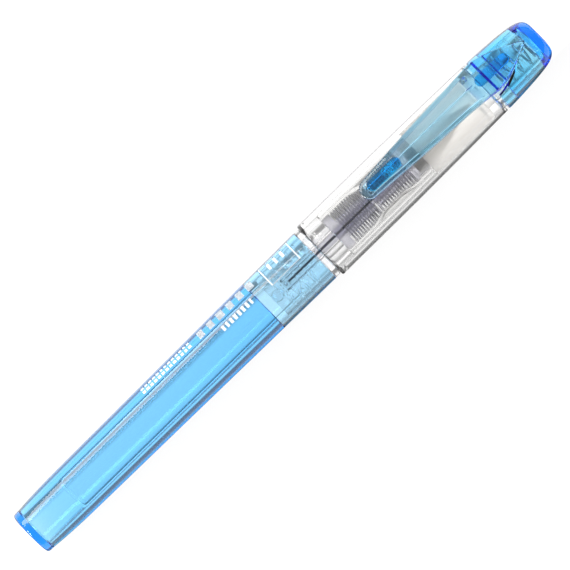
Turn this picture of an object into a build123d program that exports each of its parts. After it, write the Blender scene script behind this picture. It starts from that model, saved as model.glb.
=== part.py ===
from build123d import *
import os

# A capped fountain pen in clear plastic, in millimetres. Each piece is drawn along X, measured from the flat end
# of the barrel (x = 0) to the round end of the cap hood (x = PEN_LENGTH), with the pen's axis on Y = Z = 0. The
# pieces are then moved so that the pen lies on Z = 0, centred in X, with its clip on top.

# Whole pen
PEN_LENGTH = 138.5
CAP_RADIUS = 6.46
NIB_ROLL = 15.0          # degrees that the nib and its feed are turned away from the clip, about X
CAP_SEAM_ROLL = 9.0      # degrees that the seam of the turned cap tube is rolled; its shape is round

# Barrel
BARREL_MOUTH_X = 77.40
BARREL_MOUTH_RADIUS = 5.98
BARREL_END_CORNER = 1.3
BARREL_END_RADIUS = 4.9
BARREL_FLOOR_X = 1.45
CHAMBER_END_RADIUS = 3.88
CHAMBER_FRONT_RADIUS = 4.13
SOCKET_X = 63.54
SOCKET_RADIUS = 5.15

# Screw thread between barrel and grip section, cut as rings
THREAD_FIRST_X = 67.6
THREAD_PITCH = 1.98
THREAD_COUNT = 4
THREAD_LAND = 0.5
BARREL_THREAD_CREST = 5.02
SECTION_THREAD_CREST = 4.94

# Grip section
SLEEVE_X = 65.66
SLEEVE_RADIUS = 4.66
COLLAR_X = 77.46
COLLAR_LENGTH = 1.20
COLLAR_RADIUS = 5.90
CAP_SEAT_X = 78.66
CAP_SEAT_RADIUS = 5.28
CAP_SEAT_END_X = 82.90
GRIP_RADIUS = 4.55
WAIST_RADIUS = 3.78
WAIST_X = (90.2, 93.6, 98.6, 101.2)
GRIP_END_X = 106.0
GRIP_BORE = 4.05
WAIST_BORE = 3.28
FRONT_BORE = 3.90

# Ink feed
REAR_COMB_X = (82.90, 92.55)
REAR_SLOT_X = 85.00
REAR_SLOT_PITCH = 0.60
REAR_SLOT_COUNT = 12
FRONT_COMB_X = (92.95, 106.0)
FRONT_SLOT_X = 93.45
FRONT_SLOT_PITCH = 0.65
FRONT_SLOT_COUNT = 13
SLOT_WIDTH = 0.32
SLOT_FLOOR_RADIUS = 2.0
COMB_GAP = 0.05
NOSE_X = 108.2
NOSE_RADIUS = 3.20
CORE_RADIUS = 0.95
CORE_BORE = 1.00
STRIP_THICKNESS = 0.40
STRIP_X = (70.2, 106.4)
STRIP_HEIGHT = 1.45
TONGUE_END_X = 117.2

# Nib
NIB_X = 103.2
NIB_SHOULDER_X = 108.9
NIB_TIP_X = 119.3
NIB_INNER_RADIUS = 3.34
NIB_THICKNESS = 0.26
NIB_HALF_WIDTH = 2.95

# Piercing nipple and cartridge
NIPPLE_X = 69.0
NIPPLE_RADIUS = 1.45
NIPPLE_BORE = 1.02
CARTRIDGE_X = 11.0
CARTRIDGE_RADIUS = 3.70
CARTRIDGE_WALL = 0.42
CARTRIDGE_SHOULDER_X = 70.8
CARTRIDGE_NECK_X = 72.6
CARTRIDGE_MOUTH_X = 76.4
CARTRIDGE_NECK_RADIUS = 2.45
CARTRIDGE_NECK_BORE = 1.53
BALL_RADIUS = 1.30
BALL_X = 66.9

# Cap body and its inner cap
CAP_MOUTH_X = 78.74
CAP_BORE = 5.60
CAP_BORE_END_X = 123.5
CAP_SHOULDER_X = 124.0
CAP_SHOULDER_RADIUS = 6.08
NECK_SKIRT_RADIUS = 5.28
NECK_RADIUS = 4.70
NECK_BORE = 3.50
NECK_END_X = 135.5
NECK_GROOVES_X = (130.9, 132.7)
INNER_CAP_X = 83.0
INNER_CAP_RADIUS = 5.36
INNER_CAP_BORE = 4.78
INNER_CAP_END_X = 121.4
INNER_CAP_BOSS_X = 126.0
STUD_RADIUS = 2.0
STUD_END_X = 129.0

# Seal spring
SPRING_X = (126.12, 136.18)
SPRING_RADIUS = 2.72
SPRING_WIRE = 0.46
SPRING_TURNS = 6

# Hood and clip
HOOD_X = 124.56
HOOD_SKIRT_X = 127.0
HOOD_CAVITY_X = 136.4
CLIP_TIP_X = 91.9
CLIP_UNDERSIDE_Z = 6.86
CLIP_SLOT_GAP = 0.10
CLIP_ROOT_FLOOR_Z = 4.95
CLIP_SKIRT_FLOOR_Z = 5.50
CLIP_WALL = 1.0


def turned(points):
    """A solid turned about the pen's axis from (x, radius) corners."""
    return revolve(make_face(Polyline(*points, close=True).edges()), Axis.X)


def turned_edges(*edges):
    """A solid turned about the pen's axis from edges that close a loop."""
    return revolve(make_face(edges), Axis.X)


def disc(x_start, x_end, radius):
    """A plain round length of the given radius."""
    return turned([(x_start, 0), (x_start, radius), (x_end, radius), (x_end, 0)])


def ring(x_start, x_end, inner, outer):
    """A round tube between two radii."""
    return turned([(x_start, inner), (x_start, outer), (x_end, outer), (x_end, inner)])


def thread_ring(x, root, crest):
    """One thread turn, a ridge from root radius to crest radius with sloped flanks."""
    flank = 0.35
    return turned([
        (x - flank, root), (x, crest), (x + THREAD_LAND, crest), (x + THREAD_LAND + flank, root),
    ])


def thread_positions():
    return [THREAD_FIRST_X + index * THREAD_PITCH for index in range(THREAD_COUNT)]


def barrel():
    """The long blue barrel: a thick tube closed at its far end, with a wider threaded socket at its mouth."""
    corner_x = BARREL_END_CORNER
    flat_radius = BARREL_END_RADIUS - BARREL_END_CORNER
    corner = RadiusArc((0, flat_radius), (corner_x, BARREL_END_RADIUS), BARREL_END_CORNER)
    sides = Polyline(
        (corner_x, BARREL_END_RADIUS), (4.7, 5.17), (12.0, 5.40), (42.0, 5.66),
        (BARREL_MOUTH_X, BARREL_MOUTH_RADIUS), (BARREL_MOUTH_X, SOCKET_RADIUS), (SOCKET_X, SOCKET_RADIUS),
        (SOCKET_X, CHAMBER_FRONT_RADIUS), (BARREL_FLOOR_X + 1.0, CHAMBER_END_RADIUS),
        (BARREL_FLOOR_X, CHAMBER_END_RADIUS - 1.0), (BARREL_FLOOR_X, 0), (0, 0), (0, flat_radius),
    )
    body = turned_edges(*corner.edges(), *sides.edges())
    for x in thread_positions():
        body += thread_ring(x, SOCKET_RADIUS + 0.1, BARREL_THREAD_CREST)
    return body


def grip_outline_radius(x):
    """Outer radius of the grip at x, falling smoothly into its finger waist and back."""
    fall_start, fall_end, rise_start, rise_end = WAIST_X
    if x <= fall_start or x >= rise_end:
        return GRIP_RADIUS
    if x < fall_end:
        share = (x - fall_start) / (fall_end - fall_start)
    elif x > rise_start:
        share = (rise_end - x) / (rise_end - rise_start)
    else:
        share = 1.0
    return GRIP_RADIUS - (GRIP_RADIUS - WAIST_RADIUS) * share


def grip_bore_radius(x):
    """Bore radius of the grip at x, which follows the waist on the inside."""
    fall_start, fall_end, rise_start, rise_end = WAIST_X
    if x <= fall_start:
        return GRIP_BORE
    if x < fall_end:
        return GRIP_BORE - (GRIP_BORE - WAIST_BORE) * (x - fall_start) / (fall_end - fall_start)
    if x <= rise_start:
        return WAIST_BORE
    if x < rise_end:
        return WAIST_BORE + (FRONT_BORE - WAIST_BORE) * (x - rise_start) / (rise_end - rise_start)
    return FRONT_BORE


def grip_section():
    """The clear grip: a threaded sleeve, a collar, the cap's seat and the waisted grip, bored right through."""
    lip = 0.35
    outer = [
        (SLEEVE_X, GRIP_BORE), (SLEEVE_X, SLEEVE_RADIUS), (COLLAR_X, SLEEVE_RADIUS), (COLLAR_X, COLLAR_RADIUS),
        (COLLAR_X + COLLAR_LENGTH, COLLAR_RADIUS), (CAP_SEAT_X, CAP_SEAT_RADIUS),
        (CAP_SEAT_END_X, CAP_SEAT_RADIUS), (CAP_SEAT_END_X, GRIP_RADIUS),
        *((x, grip_outline_radius(x)) for x in WAIST_X),
        (GRIP_END_X - lip, GRIP_RADIUS), (GRIP_END_X, GRIP_RADIUS - lip), (GRIP_END_X, FRONT_BORE),
    ]
    inner = [(x, grip_bore_radius(x)) for x in reversed(WAIST_X)]
    section = turned(outer + inner)
    for x in thread_positions():
        section += thread_ring(x - THREAD_PITCH / 2, SLEEVE_RADIUS - 0.1, SECTION_THREAD_CREST)
    snap_x = CAP_SEAT_X + 1.9
    section += turned([
        (snap_x - 0.5, CAP_SEAT_RADIUS - 0.1), (snap_x, CAP_SEAT_RADIUS + 0.08),
        (snap_x + 0.5, CAP_SEAT_RADIUS - 0.1),
    ])
    return section


def slit(x_start, x_end, top):
    """The narrow slot for the ink strip, open on the nib's side of the feed."""
    width = STRIP_THICKNESS + 2 * COMB_GAP
    low = CORE_BORE * 0.5
    return Pos((x_start + x_end) / 2, 0, (low + top) / 2) * Box(x_end - x_start, width, top - low)


def comb_slots(first_x, pitch, count, radius):
    """The ring-shaped buffer slots between a comb's fins, stopped by a solid spine underneath."""
    spine = Pos(first_x + count * pitch / 2, 0, -radius) * Box(count * pitch + 2, 1.2, 2 * radius)
    slots = [
        ring(x, x + SLOT_WIDTH, SLOT_FLOOR_RADIUS, radius + 1)
        for x in (first_x + index * pitch for index in range(count))
    ]
    return [slot - spine for slot in slots]


def rear_comb():
    """The rear half of the ink buffer, a finned plug that goes in from behind."""
    start, end = REAR_COMB_X
    outer = GRIP_BORE - COMB_GAP
    knee = WAIST_X[0]
    comb = turned([
        (start, CORE_BORE), (start, outer), (knee, outer),
        (end, grip_bore_radius(end) - COMB_GAP), (end, CORE_BORE),
    ])
    for slot in comb_slots(REAR_SLOT_X, REAR_SLOT_PITCH, REAR_SLOT_COUNT, outer):
        comb -= slot
    return comb - slit(start - 1, end + 1, CORE_BORE + STRIP_HEIGHT)


def front_comb():
    """The front half of the ink buffer with the collar that carries the nib."""
    start, end = FRONT_COMB_X
    waist_end, flare_end = WAIST_X[2], WAIST_X[3]
    last_slot_x = FRONT_SLOT_X + FRONT_SLOT_PITCH * FRONT_SLOT_COUNT
    comb = turned([
        (start, CORE_BORE), (start, WAIST_BORE - COMB_GAP), (waist_end, WAIST_BORE - COMB_GAP),
        (flare_end, FRONT_BORE - COMB_GAP), (last_slot_x, FRONT_BORE - COMB_GAP),
        (last_slot_x, NIB_INNER_RADIUS - COMB_GAP), (end, NIB_INNER_RADIUS - COMB_GAP), (end, NOSE_RADIUS),
        (NOSE_X, NOSE_RADIUS), (NOSE_X, CORE_BORE),
    ])
    for slot in comb_slots(FRONT_SLOT_X, FRONT_SLOT_PITCH, FRONT_SLOT_COUNT, FRONT_BORE):
        comb -= slot
    return comb - slit(start - 1, STRIP_X[1] + 0.1, CORE_BORE + STRIP_HEIGHT)


def feed_core():
    """The rod down the middle of both combs, with the tongue that lies under the nib."""
    rod = disc(NIPPLE_X + 9.0, NOSE_X + 1, CORE_RADIUS)
    tongue_side = make_face(Polyline(
        (NOSE_X + 0.2, -2.3), (NOSE_X + 0.2, 2.35), (TONGUE_END_X, 1.55), (TONGUE_END_X, 1.0),
        (NOSE_X + 5.0, -1.2), close=True,
    ).edges())
    tongue = Rot(90, 0, 0) * extrude(tongue_side, 1.9, both=True)
    width = make_face(Polyline(
        (NOSE_X, -1.9), (NOSE_X, 1.9), (TONGUE_END_X - 1, 0.75), (TONGUE_END_X + 0.1, 0.4),
        (TONGUE_END_X + 0.1, -0.4), (TONGUE_END_X - 1, -0.75), close=True,
    ).edges())
    tongue &= extrude(width, 4, both=True)
    return rod + tongue - slit(NIPPLE_X, STRIP_X[1] + 0.1, CORE_BORE + STRIP_HEIGHT)


def ink_strip():
    """The thin dark strip that carries ink by capillary pull along the top of the feed."""
    start, end = STRIP_X
    low = CORE_BORE * 0.5 + COMB_GAP
    top = CORE_BORE + STRIP_HEIGHT - COMB_GAP
    rear_top = NIPPLE_BORE - COMB_GAP * 2
    tail_end = REAR_COMB_X[0] + 0.1
    blade = Pos((tail_end + end) / 2, 0, (low + top) / 2) * Box(end - tail_end, STRIP_THICKNESS, top - low)
    tail = Pos((start + tail_end) / 2, 0, (low + rear_top) / 2)
    return blade + tail * Box(tail_end - start, STRIP_THICKNESS, rear_top - low)


def nib():
    """A steel nib bent to a part cylinder over the feed, with a slit and a breather hole."""
    sheet = ring(NIB_X, NIB_TIP_X, NIB_INNER_RADIUS, NIB_INNER_RADIUS + NIB_THICKNESS)
    outline = make_face(Polyline(
        (NIB_X, -NIB_HALF_WIDTH), (NIB_X, NIB_HALF_WIDTH), (NIB_SHOULDER_X, NIB_HALF_WIDTH),
        (NIB_SHOULDER_X + 2.4, 2.45), (NIB_SHOULDER_X + 6.0, 1.25), (NIB_TIP_X, 0.32),
        (NIB_TIP_X, -0.32), (NIB_SHOULDER_X + 6.0, -1.25), (NIB_SHOULDER_X + 2.4, -2.45),
        (NIB_SHOULDER_X, -NIB_HALF_WIDTH), close=True,
    ).edges())
    sheet &= extrude(outline, CAP_RADIUS)
    breather_x = NIB_SHOULDER_X + 2.2
    sheet -= Pos(breather_x, 0, 3) * Cylinder(0.45, 4)
    sheet -= Pos((breather_x + NIB_TIP_X + 0.5) / 2, 0, 3) * Box(NIB_TIP_X + 0.5 - breather_x, 0.08, 4)
    point = Pos(NIB_TIP_X - 0.1, 0, NIB_INNER_RADIUS + 0.02) * Sphere(0.36)
    point -= Pos(NIB_TIP_X, 0, NIB_INNER_RADIUS) * Box(3, 0.08, 2)
    return sheet + point


def piercing_nipple():
    """The clear hollow spike that opens the cartridge and carries the ink strip's tail."""
    flange_x = COLLAR_X - 0.3
    hub_x = flange_x + 1.5
    outer = GRIP_BORE - COMB_GAP
    return turned([
        (NIPPLE_X, NIPPLE_BORE), (NIPPLE_X, NIPPLE_RADIUS - 0.25), (NIPPLE_X + 0.8, NIPPLE_RADIUS),
        (flange_x, NIPPLE_RADIUS), (flange_x, outer), (hub_x, outer), (hub_x, 2.6),
        (REAR_COMB_X[0] - 0.05, 2.6), (REAR_COMB_X[0] - 0.05, NIPPLE_BORE),
    ])


def cartridge_body():
    """The empty ink cartridge, a thin clear bottle whose neck sits on the nipple."""
    bore = CARTRIDGE_RADIUS - CARTRIDGE_WALL
    return turned([
        (CARTRIDGE_X, 0), (CARTRIDGE_X, CARTRIDGE_RADIUS - 0.6), (CARTRIDGE_X + 0.6, CARTRIDGE_RADIUS),
        (CARTRIDGE_SHOULDER_X, CARTRIDGE_RADIUS), (CARTRIDGE_NECK_X, CARTRIDGE_NECK_RADIUS),
        (CARTRIDGE_MOUTH_X, CARTRIDGE_NECK_RADIUS), (CARTRIDGE_MOUTH_X, CARTRIDGE_NECK_BORE),
        (CARTRIDGE_NECK_X - 0.4, CARTRIDGE_NECK_BORE), (CARTRIDGE_SHOULDER_X - 0.4, bore),
        (CARTRIDGE_X + 1.1, bore), (CARTRIDGE_X + 0.5, bore - 0.6), (CARTRIDGE_X + 0.5, 0),
    ])


def cartridge_ball():
    """The loose ball that sealed the cartridge before the nipple pushed it in."""
    rest_depth = CARTRIDGE_RADIUS - CARTRIDGE_WALL - BALL_RADIUS - 0.05
    return Pos(BALL_X, 0, -rest_depth) * Sphere(BALL_RADIUS)


def cap_body():
    """The clear cap tube, closed in to a neck that holds the seal spring and carries the hood."""
    lip = 0.45
    body = turned([
        (CAP_MOUTH_X, CAP_BORE + 0.1), (CAP_MOUTH_X, CAP_RADIUS - lip), (CAP_MOUTH_X + lip, CAP_RADIUS),
        (97.0, CAP_RADIUS), (111.0, 6.31), (CAP_SHOULDER_X, CAP_SHOULDER_RADIUS),
        (CAP_SHOULDER_X, NECK_SKIRT_RADIUS),
        (HOOD_SKIRT_X - 0.1, NECK_SKIRT_RADIUS), (HOOD_SKIRT_X - 0.1, NECK_RADIUS),
        (NECK_END_X - 0.7, NECK_RADIUS), (NECK_END_X, NECK_RADIUS - 0.5), (NECK_END_X, NECK_BORE),
        (CAP_BORE_END_X, NECK_BORE), (CAP_BORE_END_X, CAP_BORE), (CAP_MOUTH_X + 0.1, CAP_BORE),
    ])
    snap_x = CAP_SEAT_X + 0.9
    body += turned([(snap_x - 0.4, CAP_BORE + 0.1), (snap_x, CAP_BORE - 0.14), (snap_x + 0.4, CAP_BORE + 0.1)])
    for x in NECK_GROOVES_X:
        body -= ring(x - 0.3, x + 0.3, NECK_RADIUS - 0.22, NECK_RADIUS + 1)
    return body


def inner_cap():
    """The sprung inner cap that closes round the nib, with a boss and stud for the spring."""
    wall_end = INNER_CAP_END_X - 1.0
    boss = NECK_BORE - 0.25
    return turned([
        (INNER_CAP_X, INNER_CAP_BORE), (INNER_CAP_X, INNER_CAP_RADIUS),
        (INNER_CAP_END_X - 0.5, INNER_CAP_RADIUS), (INNER_CAP_END_X, INNER_CAP_RADIUS - 0.5),
        (INNER_CAP_END_X, boss), (INNER_CAP_BOSS_X, boss), (INNER_CAP_BOSS_X, STUD_RADIUS),
        (STUD_END_X - 0.4, STUD_RADIUS), (STUD_END_X, STUD_RADIUS - 0.4), (STUD_END_X, 0), (wall_end, 0),
        (wall_end, INNER_CAP_BORE - 0.6), (wall_end - 0.6, INNER_CAP_BORE),
    ])


def seal_spring():
    """The compression spring that presses the inner cap onto the grip section."""
    start, end = SPRING_X
    height = end - start - SPRING_WIRE
    path = Helix(height / SPRING_TURNS, height, SPRING_RADIUS)
    section = Plane(origin=path @ 0, z_dir=path % 0) * Circle(SPRING_WIRE / 2)
    coil = sweep(section, path)
    return Pos(start + SPRING_WIRE / 2, 0, 0) * Rot(0, 90, 0) * coil


def clip_plan(grow):
    """The clip seen from above: round tip, sides that spread towards the root, then a pointed arch."""
    upper = [
        (93.6, 2.05), (102.0, 2.60), (110.0, 3.10), (118.0, 3.45), (124.2, 3.95),
    ]
    arch = [(124.2, 3.95), (129.0, 2.95), (133.0, 1.45), (135.3, 0.0)]
    tip = ThreePointArc((93.6, 2.05 + grow), (CLIP_TIP_X - grow, 0), (93.6, -2.05 - grow))
    edges = list(tip.edges())
    for side in (1, -1):
        blade = Spline(*((x, side * (half + grow)) for x, half in upper))
        root = Spline(*((x + (grow if half == 0 else 0), side * (half + (grow if half else 0)))
                        for x, half in arch))
        edges += [*blade.edges(), *root.edges()]
    return make_face(edges)


def clip_side():
    """The clip seen from the side: thin at the tip, fullest at the middle, sinking into the hood."""
    top = Spline((CLIP_TIP_X - 0.1, 7.45), (94.5, 7.95), (106.0, 8.40), (122.0, 8.25), (130.0, 6.95), (135.4, 5.42))
    rest = Polyline(
        (135.4, 5.42), (135.4, CLIP_ROOT_FLOOR_Z), (127.3, CLIP_ROOT_FLOOR_Z), (127.3, CLIP_SKIRT_FLOOR_Z),
        (124.9, CLIP_SKIRT_FLOOR_Z), (124.9, 6.3),
        (123.2, CLIP_UNDERSIDE_Z), (CLIP_TIP_X - 0.1, CLIP_UNDERSIDE_Z), (CLIP_TIP_X - 0.1, 7.45),
    )
    return make_face([*top.edges(), *rest.edges()])


def clip():
    """The springy clip: a hollow-backed blade with a centre rib, a contact bump and a solid root."""
    half_width = 6.0
    body = extrude(clip_plan(0), 12) & (Rot(90, 0, 0) * extrude(clip_side(), half_width, both=True))
    channel = extrude(clip_plan(-CLIP_WALL), CLIP_UNDERSIDE_Z + 0.75)
    channel -= Pos(CLIP_TIP_X, 0, 0) * Box(66.0, 30, 20, align=(Align.MIN, Align.CENTER, Align.CENTER)) \
        - Pos(CLIP_TIP_X, 0, 0) * Box(30.6, 30, 20, align=(Align.MIN, Align.CENTER, Align.CENTER))
    body -= channel
    body += Pos(108.5, 0, CLIP_UNDERSIDE_Z + 0.55) * Box(28.0, 0.45, 0.8)
    bump_side = make_face([
        *ThreePointArc((93.7, 7.3), (97.5, 6.56), (102.0, 7.3)).edges(), *Line((102.0, 7.3), (93.7, 7.3)).edges(),
    ])
    body += Rot(90, 0, 0) * extrude(bump_side, 1.1, both=True)
    body += Pos(123.9, 0, 6.8) * Box(2.6, 2.3, 1.0)
    return body


def hood():
    """The blue hood over the end of the cap, slotted on top for the clip's root."""
    rim, dome_start = (HOOD_X, CAP_SHOULDER_RADIUS), (135.2, 5.30)
    side = Polyline(rim, (128.5, 5.93), (132.0, 5.69), dome_start)
    dome = ThreePointArc(dome_start, (137.45, 4.35), (PEN_LENGTH, 2.2))
    inside = Polyline(
        (PEN_LENGTH, 2.2), (PEN_LENGTH, 0), (HOOD_CAVITY_X, 0), (HOOD_CAVITY_X, 3.9),
        (NECK_END_X - 0.7, NECK_RADIUS + 0.06), (HOOD_SKIRT_X, NECK_RADIUS + 0.06),
        (HOOD_SKIRT_X, NECK_SKIRT_RADIUS + 0.06), (HOOD_X, NECK_SKIRT_RADIUS + 0.06), rim,
    )
    body = turned_edges(*side.edges(), *dome.edges(), *inside.edges())
    slot_floor = Plane.XY.offset(NECK_RADIUS - 1.5)
    return body - slot_floor * extrude(clip_plan(CLIP_SLOT_GAP), 12)


def placed(shape, roll):
    """Turn a piece about the pen's axis and set it down where the pen lies."""
    return Pos(-PEN_LENGTH / 2, 0, CAP_RADIUS) * Rot(roll, 0, 0) * shape


PIECES = {
    "barrel": (barrel, 0),
    "grip_section": (grip_section, 0),
    "piercing_nipple": (piercing_nipple, 0),
    "rear_comb": (rear_comb, NIB_ROLL),
    "front_comb": (front_comb, NIB_ROLL),
    "feed_core": (feed_core, NIB_ROLL),
    "ink_strip": (ink_strip, NIB_ROLL),
    "nib": (nib, NIB_ROLL),
    "cartridge_body": (cartridge_body, 0),
    "cartridge_ball": (cartridge_ball, 0),
    "cap_body": (cap_body, CAP_SEAM_ROLL),
    "inner_cap": (inner_cap, 0),
    "seal_spring": (seal_spring, 0),
    "hood": (hood, 0),
    "clip": (clip, 0),
}

os.makedirs("parts", exist_ok=True)
for name, (make, roll) in PIECES.items():
    piece = placed(make(), roll)
    piece.label = name
    export_step(piece, f"parts/{name}.step")
    print(name, round(piece.volume, 1), "mm3")
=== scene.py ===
# %% [markdown]
# # A clear fountain pen
# The pen is nearly all clear plastic, so what the eye sees is light that bends through nested walls. The
# CAD model gives the place and size of every piece. This lesson rebuilds the see-through pieces as smooth
# meshes, because a lens shows every facet, and gives each piece a finish.

# %% Load the frame
import math

import bmesh
import bpy
from mathutils import Matrix, Vector


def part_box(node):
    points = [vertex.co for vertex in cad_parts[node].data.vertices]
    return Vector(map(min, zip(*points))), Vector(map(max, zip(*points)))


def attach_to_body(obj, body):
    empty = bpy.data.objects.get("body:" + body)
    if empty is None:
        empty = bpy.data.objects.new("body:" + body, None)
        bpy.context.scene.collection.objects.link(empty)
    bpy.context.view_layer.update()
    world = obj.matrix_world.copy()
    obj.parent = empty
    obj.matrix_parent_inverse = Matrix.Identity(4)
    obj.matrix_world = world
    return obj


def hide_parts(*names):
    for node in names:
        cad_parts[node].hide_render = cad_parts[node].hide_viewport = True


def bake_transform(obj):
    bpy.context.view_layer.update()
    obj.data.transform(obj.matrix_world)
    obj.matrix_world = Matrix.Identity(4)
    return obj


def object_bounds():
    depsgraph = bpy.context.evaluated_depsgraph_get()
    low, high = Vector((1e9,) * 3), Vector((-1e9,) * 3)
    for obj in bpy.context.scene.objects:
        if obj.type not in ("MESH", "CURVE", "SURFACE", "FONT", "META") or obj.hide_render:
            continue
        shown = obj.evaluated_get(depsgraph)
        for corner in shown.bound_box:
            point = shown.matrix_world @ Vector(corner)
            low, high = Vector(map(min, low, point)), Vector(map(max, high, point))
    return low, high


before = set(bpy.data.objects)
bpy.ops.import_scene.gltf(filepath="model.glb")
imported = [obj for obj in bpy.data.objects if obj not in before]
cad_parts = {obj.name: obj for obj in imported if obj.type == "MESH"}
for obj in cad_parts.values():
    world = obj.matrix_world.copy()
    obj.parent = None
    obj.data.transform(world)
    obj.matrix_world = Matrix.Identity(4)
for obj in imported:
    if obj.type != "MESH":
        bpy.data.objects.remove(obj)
cad_low, cad_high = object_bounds()
print("CAD box", [round(v, 5) for v in (*cad_low, *cad_high)])

# %% [markdown]
# Every outline below is in millimetres along the pen, from the flat end of the barrel. A reader can check
# it with a ruler. One function moves a finished mesh to its place in the frame, in metres.

# %% Place and scale
MM = 0.001
cap_low, cap_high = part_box("cap_body")
START_X = cad_low.x / MM
AXIS_Z = (cap_low.z + cap_high.z) / 2 / MM
NIB_ROLL = math.radians(15.0)
SEGMENTS = 160


def new_object(name, mesh):
    """Link a mesh as a new object at the origin."""
    piece = bpy.data.objects.new(name, mesh)
    bpy.context.scene.collection.objects.link(piece)
    return piece


def set_down(mesh, roll=0.0):
    """Move a mesh from pen millimetres to the frame's metres, turned about the pen's axis."""
    cos_roll, sin_roll = math.cos(roll), math.sin(roll)
    for vertex in mesh.vertices:
        x, y, z = vertex.co
        y, z = y * cos_roll - z * sin_roll, y * sin_roll + z * cos_roll
        vertex.co = ((x + START_X) * MM, y * MM, (z + AXIS_Z) * MM)
    mesh.update()


def smooth(mesh, sharp_degrees=35):
    """Shade smooth, but keep the real corners crisp."""
    mesh.shade_smooth()
    mesh.set_sharp_from_angle(angle=math.radians(sharp_degrees))


def attach(piece, body, slot, *nodes):
    """Let a piece ride on its body and stand for its CAD nodes; the slot is not used."""
    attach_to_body(piece, body)
    if nodes:
        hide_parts(*nodes)
    print(piece.name, len(piece.data.polygons), "faces")
    return piece


print("pen axis height", round(AXIS_Z, 3), "mm")

# %% [markdown]
# Barrel, cap, grip and cartridge are all round, as they come out of a round mould. A lathe makes them from
# half an outline. Bezier corners stand for the small radii that every mould has: without them a clear edge
# has no glint. Two extra points beside each corner keep the long faces flat, so that they don't bend light
# by mistake.

# %% Outline helpers
def bezier(first, corner, last, steps):
    """Points of a quadratic curve that cuts a corner."""
    shares = [step / steps for step in range(steps + 1)]
    return [
        tuple((1 - t) ** 2 * a + 2 * t * (1 - t) * b + t ** 2 * c for a, b, c in zip(first, corner, last))
        for t in shares
    ]


def rounded(corners, steps=5):
    """Outline with each (x, radius, fillet) corner rounded; a corner on the axis stays a point."""
    outline = []
    for index, corner in enumerate(corners):
        here = Vector(corner[:2])
        fillet = corner[2] if len(corner) > 2 else 0.0
        if fillet == 0.0:
            outline.append(tuple(here))
            continue
        before = Vector(corners[index - 1][:2]) - here
        after = Vector(corners[(index + 1) % len(corners)][:2]) - here
        cut = min(fillet, 0.45 * before.length, 0.45 * after.length)
        first, last = here + before.normalized() * cut, here + after.normalized() * cut
        outline += bezier(first, here, last, steps)
    return outline


def supported(outline, margin=0.1, shortest=0.5):
    """Outline with extra points near both ends of each long straight stretch."""
    result = []
    for first, last in zip(outline, outline[1:] + outline[:1]):
        first, last = Vector(first), Vector(last)
        length = (last - first).length
        result.append(tuple(first))
        if length > shortest and max(first.y, last.y) > 0:
            result += [tuple(first.lerp(last, margin / length)), tuple(last.lerp(first, margin / length))]
    return result


def flow(points, steps=6):
    """Points on a smooth curve through the given ones."""
    padded = [points[0], *points, points[-1]]
    result = []
    for a, b, c, d in zip(padded, padded[1:], padded[2:], padded[3:]):
        for step in range(steps):
            t = step / steps
            result.append(tuple(
                0.5 * (2 * q + (r - p) * t + (2 * p - 5 * q + 4 * r - s) * t ** 2
                       + (3 * q - p - 3 * r + s) * t ** 3)
                for p, q, r, s in zip(a, b, c, d)
            ))
    return result + [tuple(points[-1])]


def lathe(name, outline, segments=SEGMENTS):
    """Turn a closed outline round the pen's axis into a closed mesh, still in millimetres."""
    shape = bmesh.new()
    turns = [2 * math.pi * step / segments for step in range(segments)]
    rings = []
    for x, radius in outline:
        if radius < 1e-6:
            rings.append([shape.verts.new((x, 0, 0))])
        else:
            rings.append([shape.verts.new((x, radius * math.cos(a), radius * math.sin(a))) for a in turns])
    for first, last in zip(rings, rings[1:] + rings[:1]):
        if len(first) == len(last) == 1:
            continue
        for step in range(segments):
            ahead = (step + 1) % segments
            corners = [first[step % len(first)], first[ahead % len(first)],
                       last[ahead % len(last)], last[step % len(last)]]
            shape.faces.new(list(dict.fromkeys(corners)))
    bmesh.ops.recalc_face_normals(shape, faces=shape.faces)
    mesh = bpy.data.meshes.new(name)
    shape.to_mesh(mesh)
    shape.free()
    return mesh


print("outline helpers ready")

# %% [markdown]
# Threads, fins, coils and printed marks repeat by a rule, so Geometry Nodes make them. The next helpers
# build a tree in code, give it named inputs, run it once and keep the plain mesh.

# %% Geometry Nodes helpers
def start_tree(name, inputs):
    """A new tree with named inputs, a geometry input and a geometry output."""
    tree = bpy.data.node_groups.new(name, "GeometryNodeTree")
    tree.interface.new_socket("Geometry", in_out="OUTPUT", socket_type="NodeSocketGeometry")
    tree.interface.new_socket("Geometry", in_out="INPUT", socket_type="NodeSocketGeometry")
    for label, kind, value in inputs:
        socket = tree.interface.new_socket(label, in_out="INPUT", socket_type=f"NodeSocket{kind}")
        if value is not None:
            socket.default_value = value
    return tree, tree.nodes.new("NodeGroupInput"), tree.nodes.new("NodeGroupOutput")


def wire(tree, node, **inputs):
    """Set or link a node's inputs by name, with _ for a space."""
    for label, value in inputs.items():
        socket = node.inputs[label.replace("_", " ")]
        if isinstance(value, bpy.types.NodeSocket):
            tree.links.new(value, socket)
        else:
            socket.default_value = value
    return node


def calc(tree, operation, *values):
    """One math node, whose result is returned."""
    node = tree.nodes.new("ShaderNodeMath")
    node.operation = operation
    for socket, value in zip(node.inputs, values):
        if isinstance(value, bpy.types.NodeSocket):
            tree.links.new(value, socket)
        else:
            socket.default_value = value
    return node.outputs[0]


def close_tree(tree, output, geometry, material):
    """End a tree in Realize Instances and Set Material."""
    realized = wire(tree, tree.nodes.new("GeometryNodeRealizeInstances"), Geometry=geometry)
    finished = wire(
        tree, tree.nodes.new("GeometryNodeSetMaterial"), Geometry=realized.outputs[0], Material=material
    )
    tree.links.new(finished.outputs[0], output.inputs[0])


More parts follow.
